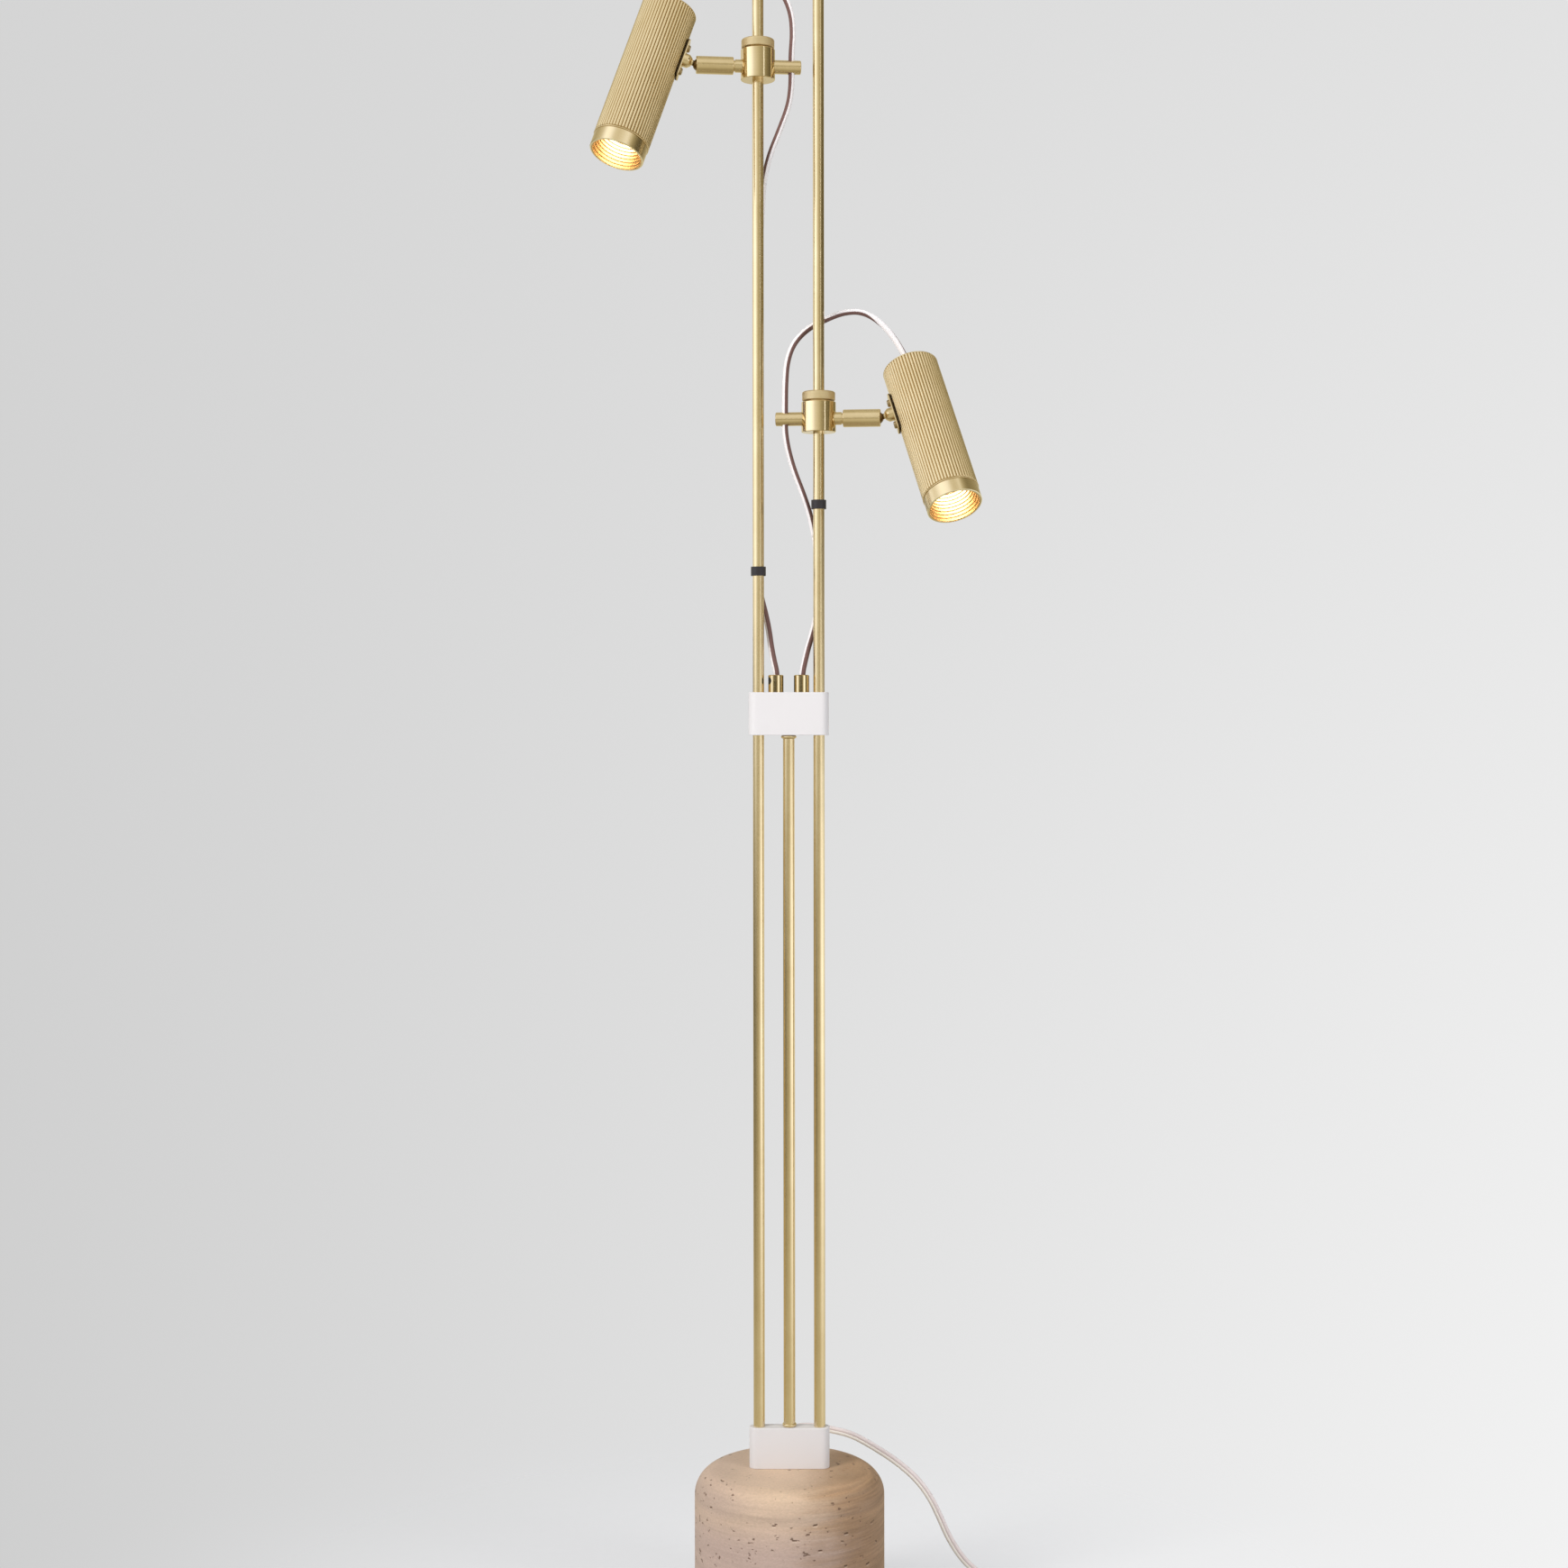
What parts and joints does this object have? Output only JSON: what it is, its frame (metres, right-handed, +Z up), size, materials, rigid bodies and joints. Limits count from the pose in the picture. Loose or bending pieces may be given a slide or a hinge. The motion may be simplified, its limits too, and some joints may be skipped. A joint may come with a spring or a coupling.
{
  "type": "floor lamp",
  "caption": "Floor lamp with reeded brass spot heads that slide, swivel, roll and tilt on a pair of rods, on a travertine foot, with cords and a coiled mains lead.",
  "frame": {"origin": "centre of the underside of the foot's felt pad, on the floor", "axes": "+Z up along the stand, front of the lamp towards -Y, the upper spot on the -X rod"},
  "size_m": [0.3951, 0.185, 1.568],
  "materials": {
    "travertine": "honed travertine, filled, with bands and small pits",
    "felt": "felt",
    "white_coat": "fine white powder coat",
    "satin_brass": "satin, brushed along its turning",
    "reeded_brass": "satin, reeded",
    "gold_baffle": "gold anodised, stepped",
    "black_steel": "black oxide",
    "black_rubber": "smooth matt",
    "spot_cord": "braided textile sheath, pale pink with a mauve side",
    "mains_lead": "glossy pale flex",
    "moulded_pale": "moulded, fine satin",
    "cord_tie": "woven hook-and-loop strap",
    "lamp_glass": "frosted, lit warm white",
    "lamp_bowl": "silvered reflector bowl",
    "ceramic": "unglazed white",
    "plated_pins": "nickel plated"
  },
  "bodies": {
    "stand": {"travertine_foot": "travertine", "base_pad": "felt", "base_bolts": "black_steel", "lower_block": "white_coat", "middle_block": "white_coat", "top_block": "white_coat", "left_rod": "satin_brass", "right_rod": "satin_brass", "conduit": "satin_brass", "ferrules": "satin_brass", "grub_screws": "black_steel", "cord_glands": "satin_brass", "cord_bands": "black_rubber", "upper_cord_run": "spot_cord", "upper_cord_slack": "spot_cord", "lower_cord_slack": "spot_cord", "strain_relief": "moulded_pale", "mains_cord": "mains_lead", "mains_coil": "mains_lead", "coil_tie": "cord_tie", "plug_body": "moulded_pale", "plug_pins": "plated_pins"},
    "upper_slider": {"upper_collet": "satin_brass"},
    "upper_clamp": {"upper_clamp_body": "satin_brass", "upper_tail_stub": "satin_brass", "upper_arm_neck": "satin_brass", "upper_cord_loop": "spot_cord"},
    "upper_nut": {"upper_clamp_nut": "satin_brass"},
    "upper_arm": {"upper_arm_sleeve": "satin_brass"},
    "upper_spot": {"upper_ball_stud": "satin_brass", "upper_mount_plate": "satin_brass", "upper_head_screws": "satin_brass", "upper_head_body": "reeded_brass", "upper_head_cap": "satin_brass", "upper_cord_bush": "satin_brass", "upper_front_ring": "satin_brass", "upper_baffle": "gold_baffle", "upper_lamp_lens": "lamp_glass", "upper_lamp_bulb": "lamp_bowl", "upper_lamp_holder": "ceramic"},
    "lower_slider": {"lower_collet": "satin_brass"},
    "lower_clamp": {"lower_clamp_body": "satin_brass", "lower_tail_stub": "satin_brass", "lower_arm_neck": "satin_brass", "lower_cord_loop": "spot_cord"},
    "lower_nut": {"lower_clamp_nut": "satin_brass"},
    "lower_arm": {"lower_arm_sleeve": "satin_brass"},
    "lower_spot": {"lower_ball_stud": "satin_brass", "lower_mount_plate": "satin_brass", "lower_head_screws": "satin_brass", "lower_head_body": "reeded_brass", "lower_head_cap": "satin_brass", "lower_cord_bush": "satin_brass", "lower_front_ring": "satin_brass", "lower_baffle": "gold_baffle", "lower_lamp_lens": "lamp_glass", "lower_lamp_bulb": "lamp_bowl", "lower_lamp_holder": "ceramic"}
  },
  "joints": [
    {"name": "upper_height", "type": "slide", "parent": "stand", "child": "upper_slider", "axis": [0, 0, 1], "range_m": [-0.05, 0.05], "deforming": ["upper_cord_slack"]},
    {"name": "upper_swivel", "type": "hinge", "parent": "upper_slider", "child": "upper_clamp", "pos_m": [-0.0268, 0, 1.382], "axis": [0, 0, 1], "range_deg": [-60, 60]},
    {"name": "upper_nut_turn", "type": "hinge", "parent": "upper_clamp", "child": "upper_nut", "pos_m": [-0.0268, 0, 1.382], "axis": [0, 0, 1], "range_deg": [-60, 60]},
    {"name": "upper_roll", "type": "hinge", "parent": "upper_clamp", "child": "upper_arm", "pos_m": [-0.0268, 0, 1.382], "axis": [-0.9936, -0.1132, 0], "range_deg": [-40, 40], "deforming": ["upper_cord_loop"]},
    {"name": "upper_tilt", "type": "hinge", "parent": "upper_arm", "child": "upper_spot", "pos_m": [-0.07896, -0.00594, 1.382], "axis": [-0.1088, 0.9551, -0.2756], "range_deg": [-28, 16]},
    {"name": "lower_height", "type": "slide", "parent": "stand", "child": "lower_slider", "axis": [0, 0, 1], "range_m": [-0.05, 0.05], "deforming": ["lower_cord_slack"]},
    {"name": "lower_swivel", "type": "hinge", "parent": "lower_slider", "child": "lower_clamp", "pos_m": [0.0268, 0, 1.0696], "axis": [0, 0, 1], "range_deg": [-60, 60]},
    {"name": "lower_nut_turn", "type": "hinge", "parent": "lower_clamp", "child": "lower_nut", "pos_m": [0.0268, 0, 1.0696], "axis": [0, 0, 1], "range_deg": [-60, 60]},
    {"name": "lower_roll", "type": "hinge", "parent": "lower_clamp", "child": "lower_arm", "pos_m": [0.0268, 0, 1.0696], "axis": [0.9936, -0.1132, 0], "range_deg": [-40, 40], "deforming": ["lower_cord_loop"]},
    {"name": "lower_tilt", "type": "hinge", "parent": "lower_arm", "child": "lower_spot", "pos_m": [0.07896, -0.00594, 1.0696], "axis": [-0.1, -0.8773, 0.4695], "range_deg": [-28, 16]}
  ]
}
